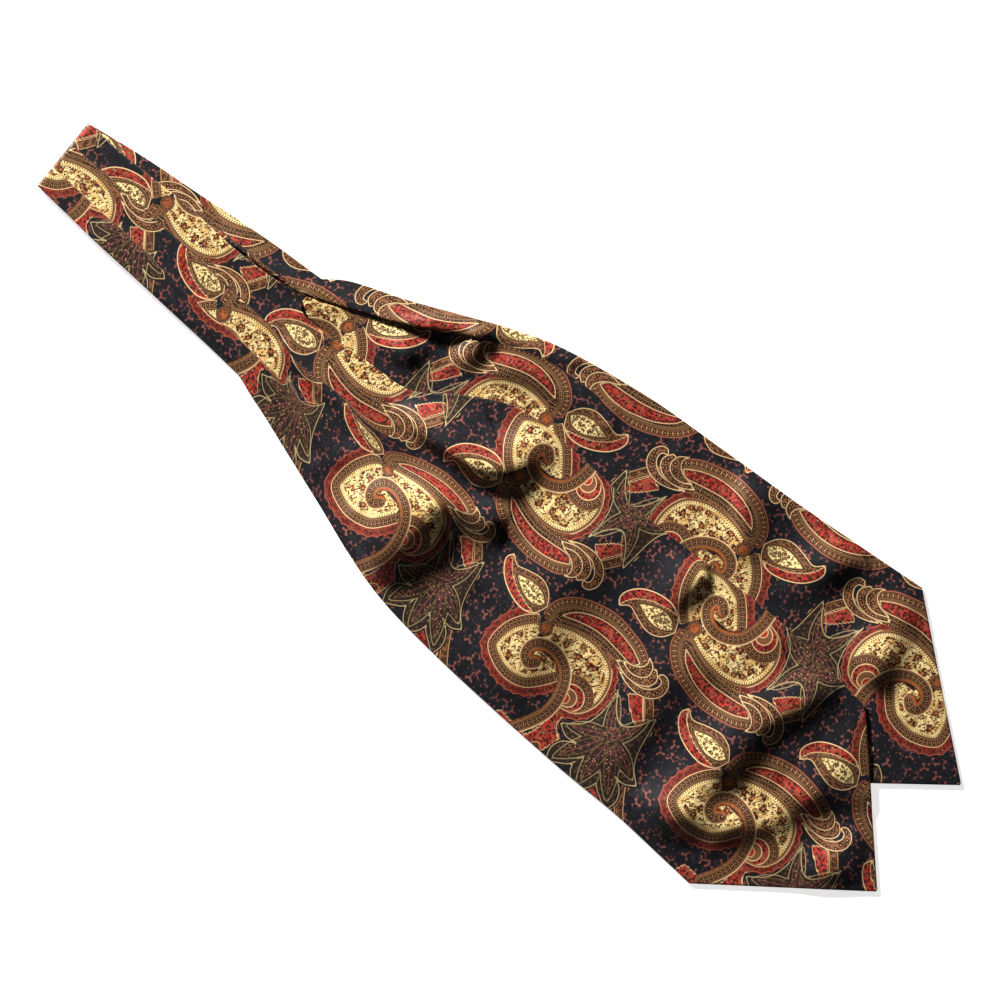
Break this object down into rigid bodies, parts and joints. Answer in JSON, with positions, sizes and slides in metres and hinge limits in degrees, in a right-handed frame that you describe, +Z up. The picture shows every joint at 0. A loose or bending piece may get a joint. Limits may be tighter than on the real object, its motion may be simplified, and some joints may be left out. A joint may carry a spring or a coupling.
{
  "type": "silk day cravat",
  "caption": "Pre-pleated silk day cravat with pointed blades, folded in half at its neck band and laid flat.",
  "frame": {"origin": "middle of the folded cravat's outline, on the surface that it lies on", "axes": "+X from the fold of the neck band to the tips of the blades, +Y across the cloth towards the back blade's free edge, +Z up from the surface"},
  "size_m": [0.6348, 0.2174, 0.0144],
  "materials": {
    "band_silk": "printed silk satin, soft sheen, pressed pleats",
    "front_silk": "printed silk satin, soft sheen",
    "back_silk": "printed silk satin, soft sheen"
  },
  "bodies": {
    "root": {"neck_band": "band_silk", "front_blade": "front_silk", "back_blade": "back_silk"}
  },
  "joints": []
}
